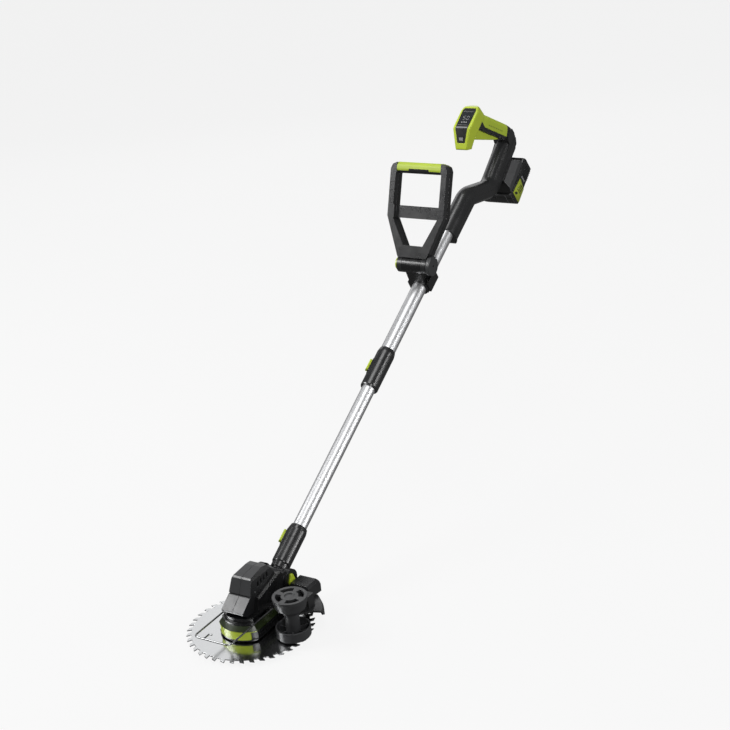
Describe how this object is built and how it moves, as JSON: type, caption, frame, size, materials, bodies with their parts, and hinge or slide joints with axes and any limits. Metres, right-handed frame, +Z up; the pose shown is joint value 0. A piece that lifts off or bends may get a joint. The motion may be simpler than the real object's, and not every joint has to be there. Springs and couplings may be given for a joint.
{
  "type": "brush cutter",
  "caption": "Battery brush cutter with a toothed disc blade, telescopic angled shaft, folding D-handle and rear trigger grip.",
  "frame": {"origin": "on the blade's axis, at the underside of the glide cup it rests on", "axes": "+Z up, -Y forwards over the blade, +Y back towards the operator, X sideways with the edge wheel on +X"},
  "size_m": [0.2354, 1.2632, 0.731],
  "materials": {
    "tube_silver": "satin anodised",
    "black_plastic": "fine texture",
    "dark_plastic": "fine texture",
    "grey_plastic": "fine texture",
    "light_plastic": "fine texture",
    "lime_plastic": "semi gloss",
    "lime_button": "semi gloss",
    "soft_grip": "soft matt",
    "blade_steel": "ground and brushed",
    "wire_steel": "polished",
    "zinc_steel": "zinc plated",
    "gear_steel": "hardened",
    "spring_steel": "oiled",
    "motor_steel": "zinc plated",
    "lens_clear": "tinted, smooth",
    "contact_brass": "bright",
    "board_green": "solder mask",
    "cell_wrap": "shrink wrap",
    "lead_sheath": "smooth"
  },
  "bodies": {
    "rear_unit": {"housing_left": "dark_plastic", "housing_right": "dark_plastic", "housing_screws": "zinc_steel", "grip_inlay": "soft_grip", "pod_bezel": "lime_plastic", "pod_fascia": "black_plastic", "display_lens": "lens_clear", "trigger_pin": "zinc_steel", "trigger_switch": "black_plastic", "battery_dock": "black_plastic", "terminal_block": "contact_brass", "control_board": "board_green", "upper_tube": "tube_silver", "coiled_lead": "lead_sheath", "lock_sleeve": "dark_plastic", "telescope_spring": "spring_steel", "clamp_saddle": "black_plastic", "clamp_cap": "black_plastic", "clamp_screws": "zinc_steel", "handle_pivot_bolt": "grey_plastic"},
    "speed_key": {"light_button": "light_plastic"},
    "lock_off": {"lock_off_button": "dark_plastic"},
    "trigger_lever": {"trigger": "lime_button"},
    "battery": {"battery_case": "black_plastic", "battery_cells": "cell_wrap"},
    "latch": {"battery_latch": "grey_plastic"},
    "d_handle": {"handle_front_shell": "dark_plastic", "handle_rear_shell": "black_plastic", "handle_grip_cover": "soft_grip"},
    "handle_lock": {"handle_lock_button": "lime_button"},
    "telescope_lock": {"telescope_button": "lime_button"},
    "front_shaft": {"lower_tube": "tube_silver", "guide_plug": "black_plastic", "shaft_lead": "lead_sheath", "head_sleeve": "dark_plastic"},
    "swivel_lock": {"swivel_button": "lime_button"},
    "neck": {"neck_yoke": "dark_plastic"},
    "head": {"tilt_pin": "zinc_steel", "tilt_spring": "spring_steel", "motor_housing_left": "grey_plastic", "motor_housing_right": "grey_plastic", "motor_can": "motor_steel", "gear_case": "black_plastic", "green_band": "lime_plastic", "base_cover": "black_plastic", "spindle_bearings": "gear_steel", "rear_shield": "dark_plastic", "wheel_arm": "dark_plastic", "head_screws": "zinc_steel"},
    "tilt_lock": {"tilt_button": "lime_button"},
    "blade_group": {"blade_spindle": "zinc_steel", "drive_gear": "gear_steel", "saw_blade": "blade_steel", "glide_cup": "zinc_steel", "blade_nut": "zinc_steel"},
    "motor_rotor_group": {"motor_rotor": "motor_steel", "motor_pinion": "gear_steel"},
    "wire_guard_body": {"wire_guard": "wire_steel"},
    "edge_wheel": {"upper_wheel": "grey_plastic", "lower_wheel": "grey_plastic"}
  },
  "joints": [
    {"name": "telescope_slide", "type": "slide", "parent": "rear_unit", "child": "front_shaft", "axis": [0, 0.8594, 0.5113], "range_m": [0, 0.25], "deforming": ["coiled_lead"]},
    {"name": "head_rotation", "type": "hinge", "parent": "front_shaft", "child": "neck", "pos_m": [0, 0.12238, 0.08685], "axis": [0, 0.8594, 0.5113], "range_deg": [-90, 90]},
    {"name": "head_tilt", "type": "hinge", "parent": "neck", "child": "head", "pos_m": [0, 0.088, 0.0664], "axis": [1, 0, 0], "range_deg": [-40, 20]},
    {"name": "blade_spin", "type": "hinge", "parent": "head", "child": "blade_group", "pos_m": [0, 0, 0.009], "axis": [0, 0, 1], "continuous": true},
    {"name": "motor_spin", "type": "hinge", "parent": "head", "child": "motor_rotor_group", "pos_m": [0, 0.025, 0.06], "axis": [0, 0, 1], "continuous": true},
    {"name": "wheel_spin", "type": "hinge", "parent": "head", "child": "edge_wheel", "pos_m": [0.0895, 0.0055, 0.06], "axis": [0, 0, 1], "continuous": true},
    {"name": "wire_guard_flip", "type": "hinge", "parent": "head", "child": "wire_guard_body", "pos_m": [0, 0.018, 0.045], "axis": [-1, 0, 0], "range_deg": [0, 95]},
    {"name": "handle_pivot", "type": "hinge", "parent": "rear_unit", "child": "d_handle", "pos_m": [0, 0.66901, 0.47257], "axis": [1, 0, 0], "range_deg": [-10, 80]},
    {"name": "handle_lock_press", "type": "slide", "parent": "d_handle", "child": "handle_lock", "axis": [1, 0, 0], "range_m": [0, 0.0025], "stiffness_N_per_m": 600, "springref_m": -0.001},
    {"name": "tilt_lock_press", "type": "slide", "parent": "head", "child": "tilt_lock", "axis": [-1, 0, 0], "range_m": [0, 0.004], "stiffness_N_per_m": 500, "springref_m": -0.001, "deforming": ["tilt_spring"]},
    {"name": "swivel_lock_press", "type": "slide", "parent": "front_shaft", "child": "swivel_lock", "axis": [0.8192, 0.2933, -0.4929], "range_m": [0, 0.002], "stiffness_N_per_m": 600, "springref_m": -0.001},
    {"name": "telescope_lock_press", "type": "slide", "parent": "rear_unit", "child": "telescope_lock", "axis": [0.8192, 0.2933, -0.4929], "range_m": [0, 0.002], "stiffness_N_per_m": 600, "springref_m": -0.001, "deforming": ["telescope_spring"]},
    {"name": "trigger_pull", "type": "hinge", "parent": "rear_unit", "child": "trigger_lever", "pos_m": [0, 1.05583, 0.64397], "axis": [-1, 0, 0], "range_deg": [0, 8], "stiffness_Nm_per_rad": 1.2, "springref_deg": -3.44},
    {"name": "lock_off_press", "type": "slide", "parent": "rear_unit", "child": "lock_off", "axis": [0, -0.4035, -0.915], "range_m": [0, 0.002], "stiffness_N_per_m": 500, "springref_m": -0.001},
    {"name": "light_press", "type": "slide", "parent": "rear_unit", "child": "speed_key", "axis": [0, 0.8061, -0.5918], "range_m": [0, 0.001], "stiffness_N_per_m": 600, "springref_m": -0.0008},
    {"name": "battery_slide", "type": "slide", "parent": "rear_unit", "child": "battery", "axis": [0, 0.7749, 0.6321], "range_m": [0, 0.07]},
    {"name": "battery_latch_press", "type": "slide", "parent": "battery", "child": "latch", "axis": [0, -0.7749, -0.6321], "range_m": [0, 0.003], "stiffness_N_per_m": 500, "springref_m": -0.001}
  ],
  "couplings": [
    {"joint": "motor_spin", "follows": "blade_spin", "ratio": -3.1667}
  ]
}
